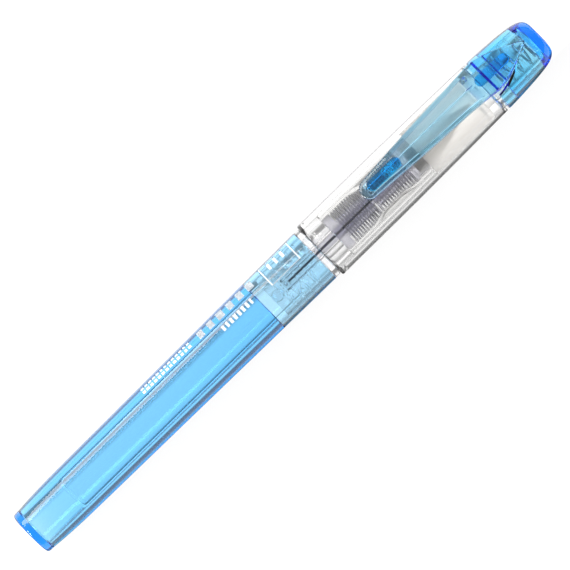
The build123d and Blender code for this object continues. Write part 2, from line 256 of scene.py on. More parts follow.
def grow(name, tree, base=None, **values):
    """Run a tree with the given inputs on a base mesh and return the plain mesh that it makes."""
    carrier = new_object(name + "_carrier", base or bpy.data.meshes.new(name + "_empty"))
    modifier = carrier.modifiers.new("grow", "NODES")
    modifier.node_group = tree
    names = {item.name: item.identifier for item in tree.interface.items_tree if item.in_out == "INPUT"}
    for label, value in values.items():
        modifier[names[label.replace("_", " ")]] = value
    evaluated = carrier.evaluated_get(bpy.context.evaluated_depsgraph_get())
    mesh = bpy.data.meshes.new_from_object(evaluated)
    mesh.name = name
    bpy.data.objects.remove(carrier)
    return mesh


print("Geometry Nodes helpers ready")

# %% [markdown]
# Moulded plastic is never perfectly smooth. It has faint flow waves from the mould and hair scratches from
# a pocket. One shader group gives both to every plastic on the pen: a roughness and a normal, at a strength
# that each material chooses.

# %% Shared finish: moulded surface
def start_group(name, inputs, outputs):
    """A shader node group with named inputs and outputs."""
    group = bpy.data.node_groups.new(name, "ShaderNodeTree")
    for label, value in inputs:
        group.interface.new_socket(label, in_out="INPUT", socket_type="NodeSocketFloat").default_value = value
    for label, kind in outputs:
        group.interface.new_socket(label, in_out="OUTPUT", socket_type=f"NodeSocket{kind}")
    return group, group.nodes.new("NodeGroupInput"), group.nodes.new("NodeGroupOutput")


def stretched_noise(tree, scale, stretch, detail=2.0):
    """Noise on Object coordinates, drawn out along the pen by the stretch."""
    place = tree.nodes.new("ShaderNodeTexCoord")
    mapping = tree.nodes.new("ShaderNodeMapping")
    mapping.inputs["Scale"].default_value = (1 / stretch, 1, 1)
    noise = tree.nodes.new("ShaderNodeTexNoise")
    noise.inputs["Scale"].default_value = scale
    noise.inputs["Detail"].default_value = detail
    tree.links.new(place.outputs["Object"], mapping.inputs["Vector"])
    tree.links.new(mapping.outputs[0], noise.inputs["Vector"])
    return noise.outputs["Fac"]


def moulded_surface():
    """Group: roughness with fine scratches, and a normal with faint flow waves."""
    group, given, out = start_group(
        "moulded_surface",
        [("Base Roughness", 0.03), ("Scratch Strength", 0.05), ("Wave Depth", 0.02)],
        [("Roughness", "Float"), ("Normal", "Vector")],
    )
    scratches = calc(group, "GREATER_THAN", stretched_noise(group, 2600, 9, 1.0), 0.66)
    marks = calc(group, "MULTIPLY", scratches, given.outputs["Scratch Strength"])
    clouds = calc(group, "MULTIPLY", stretched_noise(group, 220, 2), given.outputs["Scratch Strength"])
    total = calc(group, "ADD", calc(group, "ADD", given.outputs["Base Roughness"], marks), clouds)
    group.links.new(total, out.inputs["Roughness"])
    bump = group.nodes.new("ShaderNodeBump")
    bump.inputs["Distance"].default_value = 0.00002
    group.links.new(given.outputs["Wave Depth"], bump.inputs["Strength"])
    group.links.new(stretched_noise(group, 160, 3), bump.inputs["Height"])
    group.links.new(bump.outputs[0], out.inputs["Normal"])
    return group


MOULDED = moulded_surface()


def surface_nodes(material, roughness, scratches, waves):
    """Place the shared moulded surface in a material and link it to the Principled shader."""
    tree = material.node_tree
    shader = tree.nodes["Principled BSDF"]
    surface = tree.nodes.new("ShaderNodeGroup")
    surface.node_tree = MOULDED
    surface.inputs["Base Roughness"].default_value = roughness
    surface.inputs["Scratch Strength"].default_value = scratches
    surface.inputs["Wave Depth"].default_value = waves
    tree.links.new(surface.outputs["Roughness"], shader.inputs["Roughness"])
    tree.links.new(surface.outputs["Normal"], shader.inputs["Normal"])
    return shader


print("moulded surface group has", len(MOULDED.nodes), "nodes")

# %% [markdown]
# Tinted clear plastic is coloured all through, so a thick edge is deeper than a thin wall. Volume
# Absorption does that: the longer the light's path inside, the more of it is taken. The surface itself
# stays nearly colourless.

# %% Clear and tinted plastics
def clear_plastic(name, surface, absorbed, density, roughness=0.003, scratches=0.008, waves=0.007,
                  ior=1.53):
    """See-through plastic: absorbed is the colour left after a long path, density how fast the rest goes."""
    material = bpy.data.materials.new(name)
    material.use_nodes = True
    tree = material.node_tree
    shader = surface_nodes(material, roughness, scratches, waves)
    tint = tree.nodes.new("ShaderNodeMix")
    tint.data_type = "RGBA"
    tint.inputs["A"].default_value = (*surface, 1)
    tint.inputs["B"].default_value = (*(0.96 * c for c in surface), 1)
    tree.links.new(stretched_noise(tree, 90, 4), tint.inputs["Factor"])
    tree.links.new(tint.outputs["Result"], shader.inputs["Base Color"])
    shader.inputs["Transmission Weight"].default_value = 1.0
    shader.inputs["IOR"].default_value = ior
    if density > 0:
        volume = tree.nodes.new("ShaderNodeVolumeAbsorption")
        volume.inputs["Color"].default_value = (*absorbed, 1)
        volume.inputs["Density"].default_value = density
        tree.links.new(volume.outputs[0], tree.nodes["Material Output"].inputs["Volume"])
    return material


BLUE_BARREL = clear_plastic("blue_barrel", (0.96, 0.985, 1.0), (0.0, 0.70, 0.995), 470)
BLUE_HOOD = clear_plastic("blue_hood", (0.93, 0.975, 1.0), (0.0, 0.775, 0.994), 800)
BLUE_CLIP = clear_plastic("blue_clip", (0.95, 0.98, 1.0), (0.0, 0.74, 0.998), 700)
BLUE_PAD = clear_plastic("blue_pad", (0.95, 0.98, 1.0), (0.0, 0.85, 0.999), 3500, ior=1.12)
CLEAR_CAP = clear_plastic("clear_cap", (0.99, 0.988, 0.984), (0.6, 0.58, 0.55), 18)
CLEAR_SECTION = clear_plastic("clear_section", (0.985, 0.985, 0.99), (0.84, 0.84, 0.88), 15)
CLEAR_CARTRIDGE = clear_plastic("clear_cartridge", (0.995, 0.997, 1.0), (0.9, 0.95, 1.0), 4, ior=1.06)
INNER_CAP_SKIRT = clear_plastic("inner_cap_skirt", (0.985, 0.985, 0.98), (1.0, 1.0, 1.0), 0, roughness=0.012)
GLASS_BALL = clear_plastic("glass_ball", (0.95, 0.98, 1.0), (0.8, 0.9, 1.0), 20)
print("see-through finishes ready")

# %% [markdown]
# The ink buffer is cloudy lavender-grey plastic, which lets some light through without showing what is
# behind. Principled transmission with a high roughness looks like that. The ink strip is the same plastic,
# coloured dark navy. The inner cap's nose is milky, and a faint emission on it is a painted glow, which
# stands for the light that milky plastic scatters inside itself.

# %% Cloudy plastics, steel and print
def cloudy_plastic(name, light, dark, transmission, roughness=0.45):
    """Cloudy plastic whose colour drifts a little from one place to the next."""
    material = bpy.data.materials.new(name)
    material.use_nodes = True
    tree = material.node_tree
    shader = surface_nodes(material, roughness, 0.1, 0.3)
    drift = tree.nodes.new("ShaderNodeMix")
    drift.data_type = "RGBA"
    drift.inputs["A"].default_value = (*light, 1)
    drift.inputs["B"].default_value = (*dark, 1)
    tree.links.new(stretched_noise(tree, 400, 2), drift.inputs["Factor"])
    tree.links.new(drift.outputs["Result"], shader.inputs["Base Color"])
    shader.inputs["Transmission Weight"].default_value = transmission
    shader.inputs["IOR"].default_value = 1.3
    return material


def steel(name, grain_scale, colour, roughness):
    """Steel with a drawn grain along the pen."""
    material = bpy.data.materials.new(name)
    material.use_nodes = True
    tree = material.node_tree
    shader = tree.nodes["Principled BSDF"]
    shader.inputs["Metallic"].default_value = 1.0
    grain = stretched_noise(tree, grain_scale, 25, 3.0)
    shade = tree.nodes.new("ShaderNodeMix")
    shade.data_type = "RGBA"
    shade.inputs["A"].default_value = (*colour, 1)
    shade.inputs["B"].default_value = (*(0.8 * c for c in colour), 1)
    tree.links.new(grain, shade.inputs["Factor"])
    tree.links.new(shade.outputs["Result"], shader.inputs["Base Color"])
    tree.links.new(calc(tree, "MULTIPLY_ADD", grain, 0.15, roughness), shader.inputs["Roughness"])
    bump = tree.nodes.new("ShaderNodeBump")
    bump.inputs["Strength"].default_value = 0.2
    bump.inputs["Distance"].default_value = 0.00001
    tree.links.new(grain, bump.inputs["Height"])
    tree.links.new(bump.outputs[0], shader.inputs["Normal"])
    return material


INNER_CAP_NOSE = cloudy_plastic("inner_cap_nose", (0.97, 0.96, 0.945), (0.93, 0.92, 0.90), 0.96,
                                roughness=0.5)
# Painted glow: a faint emission that brightens the milky nose, which the lamps hardly reach through the clear
# walls.
nose_shader = INNER_CAP_NOSE.node_tree.nodes["Principled BSDF"]
nose_shader.inputs["Emission Color"].default_value = (1.0, 0.98, 0.95, 1)
nose_shader.inputs["Emission Strength"].default_value = 0.08
COMB_GREY = cloudy_plastic("comb_grey", (0.93, 0.92, 0.99), (0.86, 0.86, 0.96), 1.0, roughness=0.35)
DARK_STRIP = cloudy_plastic("dark_strip", (0.02, 0.035, 0.20), (0.01, 0.02, 0.12), 0.1, roughness=0.6)
NIB_STEEL = steel("nib_steel", 3000, (0.97, 0.97, 0.96), 0.42)
SPRING_STEEL = steel("spring_steel", 5000, (0.72, 0.72, 0.74), 0.22)
WHITE_PRINT = cloudy_plastic("white_print", (0.95, 0.97, 1.0), (0.86, 0.92, 0.98), 0.0, roughness=0.6)
print("cloudy and metal finishes ready")

# %% [markdown]
# The barrel screws onto the grip. A real thread is a ridge that climbs round the pen. A small Geometry
# Nodes tree raises it out of a finely ringed tube: it asks how far round and how far along each point is,
# and lifts the ones that lie on the ridge.

# %% Screw thread tree
def thread_tree(material):
    """Lift points between two radii and two stations into a helical ridge."""
    tree, given, out = start_tree("screw_thread", [
        ("Geometry Start", "Float", 66.0), ("Geometry End", "Float", 75.0), ("Pitch", "Float", 2.0),
        ("Depth", "Float", 0.25), ("Least Radius", "Float", 4.5), ("Most Radius", "Float", 4.8),
    ])
    position = tree.nodes.new("GeometryNodeInputPosition")
    split = wire(tree, tree.nodes.new("ShaderNodeSeparateXYZ"), Vector=position.outputs[0])
    x, y, z = split.outputs
    radius = calc(tree, "SQRT", calc(tree, "ADD", calc(tree, "POWER", y, 2.0), calc(tree, "POWER", z, 2.0)))
    turn = calc(tree, "DIVIDE", calc(tree, "ARCTAN2", z, y), 2 * math.pi)
    along = calc(tree, "SUBTRACT", calc(tree, "DIVIDE", x, given.outputs["Pitch"]), turn)
    wave = calc(tree, "PINGPONG", along, 0.5)
    ridge = tree.nodes.new("ShaderNodeMapRange")
    ridge.interpolation_type = "SMOOTHSTEP"
    wire(tree, ridge, Value=wave, From_Min=0.15, From_Max=0.07, To_Min=0.0, To_Max=1.0)
    fade_in = calc(tree, "SUBTRACT", x, given.outputs["Geometry Start"])
    fade_out = calc(tree, "SUBTRACT", given.outputs["Geometry End"], x)
    fade = calc(tree, "MINIMUM", fade_in, fade_out)
    fade_node = tree.nodes.new("ShaderNodeClamp")
    tree.links.new(fade, fade_node.inputs["Value"])
    height = calc(tree, "MULTIPLY", calc(tree, "MULTIPLY", ridge.outputs[0], fade_node.outputs[0]),
                  given.outputs["Depth"])
    over = calc(tree, "GREATER_THAN", radius, given.outputs["Least Radius"])
    under = calc(tree, "LESS_THAN", radius, given.outputs["Most Radius"])
    growth = calc(tree, "ADD", 1.0, calc(tree, "DIVIDE", height, radius))
    moved = wire(tree, tree.nodes.new("ShaderNodeCombineXYZ"), X=x, Y=calc(tree, "MULTIPLY", y, growth),
                 Z=calc(tree, "MULTIPLY", z, growth))
    lift = wire(tree, tree.nodes.new("GeometryNodeSetPosition"), Geometry=given.outputs["Geometry"],
                Selection=calc(tree, "MULTIPLY", over, under), Position=moved.outputs[0])
    close_tree(tree, out, lift.outputs[0], material)
    return tree


def threaded(name, mesh, material, **values):
    """A mesh with a helical ridge raised on it."""
    return grow(name, thread_tree(material), mesh, **values)


def fine_rings(start, end, radius, step=0.07):
    """Closely spaced points along a straight wall, for the thread to lift."""
    count = round(abs(end - start) / step)
    return [(start + (end - start) * index / count, radius) for index in range(count + 1)]


print("thread tree ready")

# %% [markdown]
# The barrel is one thick moulding. Its wall is a strong lens, which draws the dark and light lines along
# the pen. The outline goes up the outside from the flat end to the mouth, then back down the threaded
# socket and the bore.

# %% Barrel
BARREL_MOUTH = 77.40
barrel_outside = rounded([(0, 0), (0, 4.9, 1.3), (1.6, 4.93)])[:-1]
barrel_side = flow([(1.3, 4.91), (2.6, 5.02), (4.7, 5.17), (8.0, 5.31), (12.0, 5.40), (24.0, 5.51),
                    (42.0, 5.66), (60.0, 5.84), (77.1, 5.975)])
barrel_mouth = rounded([(BARREL_MOUTH - 0.3, 5.978), (BARREL_MOUTH, 5.98, 0.15), (BARREL_MOUTH, 5.16, 0.1),
                        (76.9, 5.15)])[1:]
barrel_socket = fine_rings(76.6, 63.9, 5.15)
barrel_bore = rounded([(63.7, 5.15), (63.54, 5.15, 0.15), (63.54, 4.13, 0.2), (62.0, 4.124), (2.6, 3.88),
                       (1.45, 3.88, 1.0), (1.45, 0)])
barrel_outline = barrel_outside + barrel_side + barrel_mouth + barrel_socket + barrel_bore
barrel_mesh = lathe("barrel", supported(barrel_outline))
barrel_mesh = threaded("barrel", barrel_mesh, BLUE_BARREL, Geometry_Start=66.6, Geometry_End=76.0, Pitch=1.98,
                       Depth=-0.035, Least_Radius=5.10, Most_Radius=5.2)
smooth(barrel_mesh)
set_down(barrel_mesh)
attach(new_object("barrel_shell", barrel_mesh), "barrel", "blue_barrel", "barrel")

# %% [markdown]
# The grip section is clear, so the buffer inside it shows. Its sleeve goes into the barrel, its collar
# meets the barrel's mouth, and the waist is where the fingers hold it. The bore follows the waist.

# %% Grip section
sleeve = rounded([(65.66, 4.05, 0.1), (65.66, 4.66, 0.15), (66.2, 4.66)])[:-1] + fine_rings(66.2, 76.4, 4.66)
collar = rounded([(76.6, 4.66), (77.46, 4.66), (77.46, 5.90, 0.2), (78.66, 5.90, 0.25), (78.66, 5.28, 0.05),
                  (79.9, 5.28, 0.2), (80.55, 5.36, 0.3), (81.2, 5.28, 0.2), (82.90, 5.28, 0.2),
                  (82.90, 4.56, 0.1)])
waist_outside = flow([(83.2, 4.55), (88.0, 4.55), (90.2, 4.52), (91.6, 4.25), (93.0, 3.86), (94.4, 3.76),
                      (96.4, 3.76), (98.2, 3.82), (99.8, 4.20), (101.2, 4.50), (103.0, 4.55), (105.4, 4.55)])
grip_front = rounded([(105.5, 4.55), (106.0, 4.55, 0.35), (106.0, 3.90, 0.1), (105.6, 3.90)])[1:]
waist_inside = flow([(105.4, 3.90), (103.0, 3.90), (101.2, 3.88), (99.8, 3.60), (98.4, 3.31), (96.4, 3.27),
                     (94.2, 3.27), (93.0, 3.36), (91.6, 3.72), (90.2, 4.03), (88.0, 4.05), (83.0, 4.05)])
section_mesh = lathe("grip_section", supported(sleeve + collar + waist_outside + grip_front + waist_inside))
section_mesh = threaded("grip_section", section_mesh, CLEAR_SECTION, Geometry_Start=66.3, Geometry_End=76.0,
                        Pitch=1.98, Depth=0.13, Least_Radius=4.60, Most_Radius=4.75)
smooth(section_mesh)
set_down(section_mesh)
attach(new_object("grip_shell", section_mesh), "section", "clear_section", "grip_section")

# %% [markdown]
# The nipple, the cartridge and its ball are inside the barrel. They are as clear as the rest and hardly
# show, but each is its own closed shape with a real wall.

# %% Nipple, cartridge and ball
def turned_piece(name, material, outline, body, slot, *nodes):
    """A round piece from its outline, finished and attached."""
    mesh = lathe(name, supported(outline))
    mesh.materials.append(material)
    smooth(mesh)
    set_down(mesh)
    return attach(new_object(name, mesh), body, slot, *nodes)


turned_piece("nipple", CLEAR_SECTION, rounded([
    (69.0, 1.02), (69.0, 1.2, 0.05), (69.8, 1.45, 0.2), (77.16, 1.45, 0.2), (77.16, 4.0, 0.1),
    (78.66, 4.0, 0.1), (78.66, 2.6, 0.2), (82.85, 2.6, 0.1), (82.85, 1.02)]), "section", "clear_section",
    "piercing_nipple")
turned_piece("cartridge", CLEAR_CARTRIDGE, rounded([
    (11.0, 0), (11.0, 3.70, 0.6), (70.8, 3.70, 0.8), (72.6, 2.45, 0.6), (76.4, 2.45, 0.15), (76.4, 1.53, 0.1),
    (72.2, 1.53, 0.4), (70.4, 3.28, 0.5), (11.5, 3.28, 0.6), (11.5, 0)]), "cartridge", "clear_cartridge",
    "cartridge_body")
ball_low, ball_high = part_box("cartridge_ball")
ball_centre, BALL_RADIUS = (ball_low + ball_high) / 2, (ball_high.x - ball_low.x) / 2
ball_outline = [
    (BALL_RADIUS / MM * -math.cos(math.pi * step / 32), BALL_RADIUS / MM * math.sin(math.pi * step / 32))
    for step in range(33)
]
ball_mesh = lathe("ball", ball_outline, 64)
for vertex in ball_mesh.vertices:
    vertex.co = vertex.co * MM + ball_centre
ball_mesh.materials.append(GLASS_BALL)
ball_mesh.shade_smooth()
attach(new_object("ball", ball_mesh), "ball", "glass_ball", "cartridge_ball")

# %% [markdown]
# The ink buffer is a stack of thin fins on a core. Ink that the nib doesn't use is held between them. The
# fins are one ring, repeated along a line by Geometry Nodes, each scaled to the bore at its place. The ring
# is left open where the ink strip runs, on the nib's side.

# %% Fin stack tree
FIN_GAP = math.radians(11)


def fin_tree(material):
    """Rings along X: the count, pitch, thickness and radii at both ends are inputs."""
    tree, given, out = start_tree("fin_stack", [
        ("First", "Float", 85.0), ("Pitch", "Float", 0.6), ("Count", "Int", 12), ("Thickness", "Float", 0.28),
        ("Start Radius", "Float", 4.0), ("End Radius", "Float", 3.6), ("Bend Share", "Float", 0.7),
    ])
    start = wire(tree, tree.nodes.new("ShaderNodeCombineXYZ"), X=given.outputs["First"])
    step = wire(tree, tree.nodes.new("ShaderNodeCombineXYZ"), X=given.outputs["Pitch"])
    line = wire(tree, tree.nodes.new("GeometryNodeMeshLine"), Count=given.outputs["Count"],
                Start_Location=start.outputs[0], Offset=step.outputs[0])
    depth = 0.5
    ring = wire(tree, tree.nodes.new("GeometryNodeCurveArc"), Resolution=96, Radius=1 - depth / 2,
                Start_Angle=math.pi + FIN_GAP / 2, Sweep_Angle=2 * math.pi - FIN_GAP)
    section = tree.nodes.new("GeometryNodeCurvePrimitiveQuadrilateral")
    wire(tree, section, Width=depth, Height=given.outputs["Thickness"])
    fin = wire(tree, tree.nodes.new("GeometryNodeCurveToMesh"), Curve=ring.outputs[0],
               Profile_Curve=section.outputs[0], Fill_Caps=True)
    upright = wire(tree, tree.nodes.new("GeometryNodeTransform"), Geometry=fin.outputs[0],
                   Rotation=(0, math.pi / 2, 0))
    index = tree.nodes.new("GeometryNodeInputIndex")
    last = calc(tree, "SUBTRACT", given.outputs["Count"], 1.0)
    share = calc(tree, "DIVIDE", index.outputs[0], last)
    radius = tree.nodes.new("ShaderNodeMapRange")
    radius.interpolation_type = "SMOOTHSTEP"
    wire(tree, radius, Value=share, From_Min=given.outputs["Bend Share"], From_Max=1.0,
         To_Min=given.outputs["Start Radius"], To_Max=given.outputs["End Radius"])
    scale = wire(tree, tree.nodes.new("ShaderNodeCombineXYZ"), X=1.0, Y=radius.outputs[0],
                 Z=radius.outputs[0])
    stack = wire(tree, tree.nodes.new("GeometryNodeInstanceOnPoints"), Points=line.outputs[0],
                 Instance=upright.outputs[0], Scale=scale.outputs[0])
    close_tree(tree, out, stack.outputs[0], material)
    return tree


FIN_TREE = fin_tree(COMB_GREY)


def joined(name, meshes):
    """Several meshes as one."""
    shape = bmesh.new()
    for mesh in meshes:
        shape.from_mesh(mesh)
    bmesh.ops.recalc_face_normals(shape, faces=shape.faces)
    whole = bpy.data.meshes.new(name)
    shape.to_mesh(whole)
    shape.free()
    return whole


def comb(name, outline, node, **fins):
    """A buffer half: its core from an outline, with fins grown on it."""
    core = lathe(name + "_core", supported(rounded(outline)), 96)
    whole = joined(name, [core, grow(name + "_fins", FIN_TREE, **fins)])
    whole.materials.append(COMB_GREY)
    smooth(whole)
    set_down(whole, NIB_ROLL)
    return attach(new_object(name, whole), "section", "grey_comb", node)


comb("rear_fins", [(82.9, 1.0), (82.9, 4.0, 0.15), (84.85, 4.0, 0.1), (84.85, 2.1, 0.1), (92.25, 2.1, 0.1),
                   (92.25, 3.3, 0.05), (92.55, 3.3, 0.05), (92.55, 1.0)], "rear_comb",
     First=85.45, Pitch=0.60, Count=12, Thickness=0.28, Start_Radius=3.98, End_Radius=3.38, Bend_Share=0.62)
comb("front_fins", [(92.95, 1.0), (92.95, 3.22, 0.05), (93.35, 3.22, 0.05), (93.35, 2.1, 0.1),
                    (101.9, 2.1, 0.1), (101.9, 3.84, 0.1), (102.6, 3.84, 0.1), (102.6, 3.28, 0.1),
                    (106.0, 3.28, 0.1), (106.0, 3.2, 0.05), (108.2, 3.2, 0.3), (108.2, 1.0)], "front_comb",
     First=93.9, Pitch=0.65, Count=13, Thickness=0.30, Start_Radius=3.22, End_Radius=3.84, Bend_Share=0.55)

# %% [markdown]
# The feed's core and the ink strip keep their CAD shapes, which are right, and only need finishes.

# %% Finishes on CAD shapes
def refinish(node, material):
    """Give a CAD node's own mesh a new material."""
    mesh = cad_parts[node].data
    mesh.materials.clear()
    mesh.materials.append(material)


refinish("feed_core", COMB_GREY)
refinish("ink_strip", DARK_STRIP)

# %% [markdown]
# The nib is a flat steel blank, pressed round the feed. Its two tines are built as strips of points whose
# inner edge is the slit or the breather hole and whose outer edge is the blank's outline. The strip is then
# bent by turning distance across the blank into an angle.

# %% Nib
NIB_START, NIB_TIP, NIB_RADIUS, NIB_THICKNESS = 103.2, 119.3, 3.34, 0.26
BREATHER_X, BREATHER_RADIUS, SLIT_HALF = 111.1, 0.45, 0.04


def nib_half_width(x):
    """Distance from the slit to the blank's edge."""
    shape = [(103.2, 2.95), (108.9, 2.95), (111.3, 2.45), (114.9, 1.25), (119.0, 0.36), (119.3, 0.12)]
    for (x0, w0), (x1, w1) in zip(shape, shape[1:]):
        if x <= x1:
            share = (x - x0) / (x1 - x0)
            return w0 + (w1 - w0) * share
    return shape[-1][1]


def nib_inner_edge(x):
    """Half the width of the slit, or of the round breather hole that it ends in."""
    off = x - BREATHER_X
    hole = math.sqrt(max(0.0, BREATHER_RADIUS ** 2 - off ** 2))
    if off < -BREATHER_RADIUS:
        return 0.0
    return max(hole, SLIT_HALF if off > 0 else 0.0)


def nib_mesh():
    """Both tines, bent round the feed."""
    shape = bmesh.new()
    even = {round(NIB_START + step * 0.16, 3) for step in range(100)}
    hole = {round(BREATHER_X + BREATHER_RADIUS * math.cos(math.pi * step / 12), 4) for step in range(13)}
    stations = sorted(even | hole | {NIB_TIP})
    across = 10
    for side in (1, -1):
        rows = []
        for x in stations:
            inner, outer = nib_inner_edge(x), max(nib_half_width(x), nib_inner_edge(x) + 0.05)
            row = []
            for step in range(across + 1):
                angle = side * (inner + (outer - inner) * step / across) / NIB_RADIUS
                row.append(shape.verts.new((x, NIB_RADIUS * math.sin(angle), NIB_RADIUS * math.cos(angle))))
            rows.append(row)
        for first, last in zip(rows, rows[1:]):
            for step in range(across):
                shape.faces.new((first[step], last[step], last[step + 1], first[step + 1])[::side])
    bmesh.ops.remove_doubles(shape, verts=shape.verts, dist=0.001)
    bmesh.ops.recalc_face_normals(shape, faces=shape.faces)
    if sum(face.normal.z for face in shape.faces) < 0:
        bmesh.ops.reverse_faces(shape, faces=shape.faces)
    mesh = bpy.data.meshes.new("nib")
    shape.to_mesh(mesh)
    shape.free()
    return mesh


def thickened(mesh, thickness):
    """A sheet with a wall raised on its outer side."""
    carrier = new_object("carrier", mesh)
    solid = carrier.modifiers.new("wall", "SOLIDIFY")
    solid.thickness, solid.offset = thickness, 1.0
    result = bpy.data.meshes.new_from_object(carrier.evaluated_get(bpy.context.evaluated_depsgraph_get()))
    bpy.data.objects.remove(carrier)
    return result


nib_steel_mesh = thickened(nib_mesh(), NIB_THICKNESS)
nib_steel_mesh.materials.append(NIB_STEEL)
smooth(nib_steel_mesh)
set_down(nib_steel_mesh, NIB_ROLL)
attach(new_object("nib_blank", nib_steel_mesh), "section", "steel", "nib")

# %% [markdown]
# The cap is a thin clear tube that narrows to a neck. The hood snaps on over the neck's two grooves. The
# inner cap slides inside it on a spring and closes round the nib, so that the ink doesn't dry. Its skirt is
# polished clear, and its nose, round the nib, is milky.

# %% Cap body and inner cap
cap_mouth = rounded([(78.74, 5.72, 0.1), (78.74, 6.46, 0.45), (79.6, 6.46)])[:-1]
cap_side = flow([(79.6, 6.46), (88.0, 6.46), (97.0, 6.455), (104.0, 6.39), (111.0, 6.31), (118.0, 6.20),
                 (123.6, 6.09)])
cap_neck = rounded([
    (123.8, 6.085), (124.0, 6.08, 0.15), (124.0, 5.28, 0.05), (126.9, 5.28, 0.15), (126.9, 4.70, 0.05),
    (130.6, 4.70, 0.05), (130.6, 4.48, 0.05), (131.2, 4.48, 0.05), (131.2, 4.70, 0.05),
    (132.4, 4.70, 0.05), (132.4, 4.48, 0.05), (133.0, 4.48, 0.05), (133.0, 4.70, 0.05),
    (134.8, 4.70, 0.2), (135.5, 4.2, 0.15), (135.5, 3.5, 0.1), (123.5, 3.5, 0.3), (123.5, 5.6, 0.5),
    (80.3, 5.6, 0.1), (79.9, 5.5, 0.15), (79.5, 5.48, 0.15), (79.1, 5.62, 0.1)])
turned_piece("cap_shell", CLEAR_CAP, cap_mouth + cap_side + cap_neck, "cap", "clear_cap",
             "cap_body")
NOSE_X = 105.5
inner_cap_piece = turned_piece("inner_cap_shell", INNER_CAP_SKIRT, rounded([
    (83.0, 4.78, 0.1), (83.0, 5.36, 0.15), (105.2, 5.36), (NOSE_X, 5.36), (121.4, 5.36, 0.6),
    (121.4, 3.25, 0.1), (126.0, 3.25, 0.2), (126.0, 2.0, 0.1), (129.0, 2.0, 0.4), (129.0, 0), (120.4, 0),
    (120.4, 4.78, 0.6), (NOSE_X, 4.78), (105.2, 4.78)]), "inner_cap", "milky_inner_cap", "inner_cap")
inner_cap_piece.data.materials.append(INNER_CAP_NOSE)
for face in inner_cap_piece.data.polygons:
    if face.center.x > (NOSE_X - 0.1 + START_X) * MM:
        face.material_index = 1

# %% [markdown]
# The seal spring is a compression spring, so its turns lie close at both ends and open in the middle. A
# line of points is wound into that shape by a formula in Geometry Nodes, and a round wire is swept along
# it. It stretches between the cap and the inner cap.

# %% Seal spring
def coil_tree(material):
    """A coil with closed ends along X."""
    tree, given, out = start_tree("closed_end_coil", [
        ("First", "Float", 126.3), ("Length", "Float", 9.6), ("Radius", "Float", 2.7),
        ("Wire", "Float", 0.23), ("Turns", "Float", 7.0), ("Closeness", "Float", 0.75),
    ])
    line = wire(tree, tree.nodes.new("GeometryNodeCurvePrimitiveLine"), End=(1, 0, 0))
    points = wire(tree, tree.nodes.new("GeometryNodeResampleCurve"), Curve=line.outputs[0], Count=420)
    share = tree.nodes.new("GeometryNodeSplineParameter").outputs["Factor"]
    angle = calc(tree, "MULTIPLY", calc(tree, "MULTIPLY", share, given.outputs["Turns"]), 2 * math.pi)
    swing = calc(tree, "SINE", calc(tree, "MULTIPLY", share, 2 * math.pi))
    squeeze = calc(tree, "DIVIDE", swing, 2 * math.pi)
    eased = calc(tree, "SUBTRACT", share, calc(tree, "MULTIPLY", squeeze, given.outputs["Closeness"]))
    along = calc(tree, "ADD", given.outputs["First"], calc(tree, "MULTIPLY", eased, given.outputs["Length"]))
    wound = wire(tree, tree.nodes.new("ShaderNodeCombineXYZ"), X=along,
                 Y=calc(tree, "MULTIPLY", calc(tree, "COSINE", angle), given.outputs["Radius"]),
                 Z=calc(tree, "MULTIPLY", calc(tree, "SINE", angle), given.outputs["Radius"]))
    coil = wire(tree, tree.nodes.new("GeometryNodeSetPosition"), Geometry=points.outputs[0],
                Position=wound.outputs[0])
    section = wire(tree, tree.nodes.new("GeometryNodeCurvePrimitiveCircle"), Resolution=12,
                   Radius=given.outputs["Wire"])
    swept = wire(tree, tree.nodes.new("GeometryNodeCurveToMesh"), Curve=coil.outputs[0],
                 Profile_Curve=section.outputs[0], Fill_Caps=True)
    close_tree(tree, out, swept.outputs[0], material)
    return tree


spring_mesh = grow("seal_coil", coil_tree(SPRING_STEEL), First=126.36, Length=9.58, Radius=2.72, Wire=0.225,
                   Turns=7.0, Closeness=0.72)
smooth(spring_mesh, 60)
set_down(spring_mesh)
spring_piece = new_object("seal_coil", spring_mesh)
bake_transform(spring_piece)
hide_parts("seal_spring")
print("spring faces", len(spring_mesh.polygons))

# %% [markdown]
# The clip is a blade whose width, height and hollow change along its length. It is lofted: the same cross-
# section of points is drawn at many stations, each with that station's sizes, and neighbours are joined by
# faces. Its round tip and its pointed root are only sections that shrink to nothing.

# %% Clip sections
CLIP_TIP, CLIP_ARCH, CLIP_END = 91.9, 124.2, 135.3


def follow(points, x):
    """Smoothly interpolated value at x through (x, value) points."""
    if x <= points[0][0]:
        return points[0][1]
    for (x0, v0), (x1, v1) in zip(points, points[1:]):
        if x <= x1:
            share = (x - x0) / (x1 - x0)
            return v0 + (v1 - v0) * share
    return points[-1][1]


def clip_half_width(x):
    """Half the clip's width: round tip, slow spread, then a pointed arch in the hood."""
    tip_length, tip_half = 1.7, 2.05
    if x < CLIP_TIP + tip_length:
        share = 1 - (x - CLIP_TIP) / tip_length
        return tip_half * math.sqrt(max(0.0, 1 - share * share))
    if x <= CLIP_ARCH:
        return follow([(93.6, 2.05), (102, 2.6), (110, 3.1), (118, 3.45), (CLIP_ARCH, 3.95)], x)
    return 3.95 * (1 - ((x - CLIP_ARCH) / (CLIP_END - CLIP_ARCH)) ** 1.7)


def clip_top(x):
    """Height of the clip's back above the pen's axis."""
    return follow([(91.9, 7.45), (94.5, 7.95), (100, 8.22), (106, 8.38), (114, 8.38), (122, 8.2), (126, 7.75),
                   (130, 6.95), (133, 6.15), (135.3, 5.42)], x)


def clip_floor(x):
    """Height of the clip's underside above the pen's axis."""
    return follow([(91.9, 6.95), (93.0, 6.86), (123.2, 6.86), (124.8, 6.3), (125.0, 5.5), (127.2, 5.5),
                   (127.4, 4.95), (135.3, 4.95)], x)


